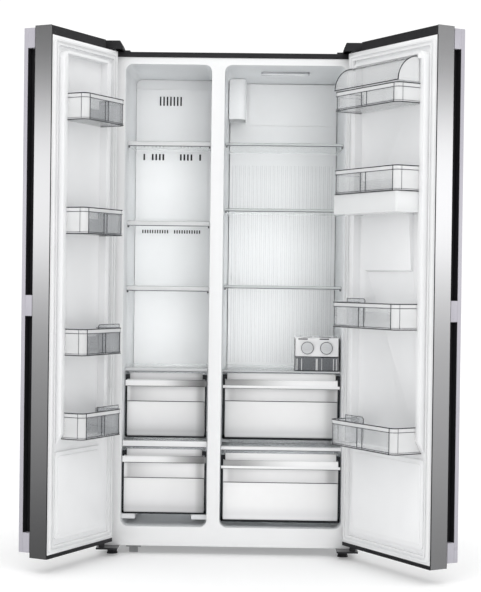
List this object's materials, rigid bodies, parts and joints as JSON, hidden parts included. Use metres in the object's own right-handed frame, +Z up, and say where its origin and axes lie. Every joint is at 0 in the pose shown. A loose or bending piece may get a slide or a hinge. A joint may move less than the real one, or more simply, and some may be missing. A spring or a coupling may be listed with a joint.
{
  "type": "side by side refrigerator",
  "caption": "Two-door side by side refrigerator: freezer left, fresh food right, doors open on vertical hinges, glass shelves, clear drawers and door bins, twist ice maker, water dispenser.",
  "frame": {"origin": "on the floor, at the middle of the cabinet's width, in the plane of the cabinet's front face", "axes": "+X to the right as seen from the front, +Y from the front face towards the back, +Z up"},
  "size_m": [1.4274, 1.0958, 1.789],
  "materials": {
    "stainless": "satin",
    "cabinet_paint": "satin",
    "galvanised": "satin",
    "white_enamel": "gloss",
    "white_liner": "satin",
    "white_plastic": "gloss",
    "insulation": "matte",
    "clear_plastic": "gloss",
    "shelf_glass": "polished",
    "lamp_lens": "gloss",
    "handle_silver": "satin",
    "black_plastic": "satin",
    "black_steel": "satin",
    "seal_rubber": "matte",
    "roller_plastic": "matte",
    "coil_aluminium": "satin",
    "grey_plastic": "matte"
  },
  "bodies": {
    "cabinet": {"cabinet_shell": "cabinet_paint", "back_panel": "galvanised", "base_frame": "galvanised", "cabinet_foam": "insulation", "front_frame": "white_enamel", "top_trim": "black_plastic", "freezer_liner": "white_liner", "fridge_liner": "white_liner", "freezer_duct_cover": "white_liner", "fridge_duct_cover": "white_liner", "damper_box": "white_liner", "ceiling_lamp": "lamp_lens", "shelf_glass": "shelf_glass", "shelf_trims": "white_plastic", "upper_hinges": "galvanised", "hinge_covers": "black_plastic", "lower_hinges": "black_steel", "levelling_feet": "black_plastic", "evaporator": "coil_aluminium", "fan_motor": "grey_plastic", "compressor": "black_steel", "condenser": "black_steel", "drain_pan": "black_plastic", "machine_cover": "grey_plastic", "power_inlet": "black_plastic", "ice_maker_frame": "white_plastic"},
    "freezer_door": {"freezer_door_skin": "stainless", "freezer_door_caps": "black_plastic", "freezer_door_foam": "insulation", "freezer_door_liner": "white_liner", "freezer_door_gasket": "seal_rubber", "freezer_door_bins": "clear_plastic", "freezer_handle_bar": "handle_silver", "freezer_handle_channel": "black_plastic"},
    "fridge_door": {"fridge_door_skin": "stainless", "fridge_door_caps": "black_plastic", "fridge_door_foam": "insulation", "fridge_door_liner": "white_liner", "fridge_door_gasket": "seal_rubber", "fridge_door_bins": "clear_plastic", "fridge_handle_bar": "handle_silver", "fridge_handle_channel": "black_plastic", "water_tank": "white_plastic", "dispenser_housing": "black_plastic"},
    "freezer_upper_drawer": {"freezer_upper_tub": "clear_plastic", "freezer_upper_front": "white_plastic"},
    "freezer_lower_drawer": {"freezer_lower_tub": "clear_plastic", "freezer_lower_front": "white_plastic"},
    "crisper_upper_drawer": {"crisper_upper_tub": "clear_plastic", "crisper_upper_front": "white_plastic"},
    "crisper_lower_drawer": {"crisper_lower_tub": "clear_plastic", "crisper_lower_front": "white_plastic"},
    "ice_tray_left": {"ice_tray_left": "clear_plastic"},
    "ice_tray_right": {"ice_tray_right": "clear_plastic"},
    "ice_bin": {"ice_bin": "clear_plastic"},
    "dairy_cover": {"dairy_cover": "clear_plastic"},
    "dispenser_paddle": {"dispenser_paddle": "grey_plastic"},
    "evaporator_fan": {"evaporator_fan": "white_plastic"},
    "rear_rollers": {"rear_rollers": "roller_plastic"}
  },
  "joints": [
    {"name": "freezer_door_hinge", "type": "hinge", "parent": "cabinet", "child": "freezer_door", "pos_m": [-0.4366, -0.044, 0.9], "axis": [0, 0, -1], "range_deg": [-116, 19]},
    {"name": "fridge_door_hinge", "type": "hinge", "parent": "cabinet", "child": "fridge_door", "pos_m": [0.4366, -0.044, 0.9], "axis": [0, 0, 1], "range_deg": [-121, 14]},
    {"name": "freezer_upper_slide", "type": "slide", "parent": "cabinet", "child": "freezer_upper_drawer", "axis": [0, -1, 0], "range_m": [0, 0.24]},
    {"name": "freezer_lower_slide", "type": "slide", "parent": "cabinet", "child": "freezer_lower_drawer", "axis": [0, -1, 0], "range_m": [0, 0.3]},
    {"name": "crisper_upper_slide", "type": "slide", "parent": "cabinet", "child": "crisper_upper_drawer", "axis": [0, -1, 0], "range_m": [0, 0.235]},
    {"name": "crisper_lower_slide", "type": "slide", "parent": "cabinet", "child": "crisper_lower_drawer", "axis": [0, -1, 0], "range_m": [0, 0.3]},
    {"name": "ice_bin_slide", "type": "slide", "parent": "cabinet", "child": "ice_bin", "axis": [0, -1, 0], "range_m": [0, 0.12]},
    {"name": "ice_tray_left_twist", "type": "hinge", "parent": "cabinet", "child": "ice_tray_left", "pos_m": [0.275, 0.2, 0.726], "axis": [0, 1, 0], "range_deg": [0, 140], "stiffness_Nm_per_rad": 0.06},
    {"name": "ice_tray_right_twist", "type": "hinge", "parent": "cabinet", "child": "ice_tray_right", "pos_m": [0.343, 0.2, 0.726], "axis": [0, 1, 0], "range_deg": [0, 140], "stiffness_Nm_per_rad": 0.06},
    {"name": "dairy_cover_hinge", "type": "hinge", "parent": "fridge_door", "child": "dairy_cover", "pos_m": [0.50858, -0.29194, 1.688], "axis": [-0.515, 0.8572, 0], "range_deg": [0, 80]},
    {"name": "dispenser_paddle_push", "type": "hinge", "parent": "fridge_door", "child": "dispenser_paddle", "pos_m": [0.56274, -0.2384, 1.26], "axis": [-0.515, 0.8572, 0], "range_deg": [0, 7], "stiffness_Nm_per_rad": 1.5},
    {"name": "evaporator_fan_spin", "type": "hinge", "parent": "cabinet", "child": "evaporator_fan", "pos_m": [-0.235, 0.47, 1.06], "axis": [0, 1, 0], "continuous": true},
    {"name": "rear_rollers_spin", "type": "hinge", "parent": "cabinet", "child": "rear_rollers", "pos_m": [0, 0.56, 0.018], "axis": [1, 0, 0], "continuous": true}
  ]
}
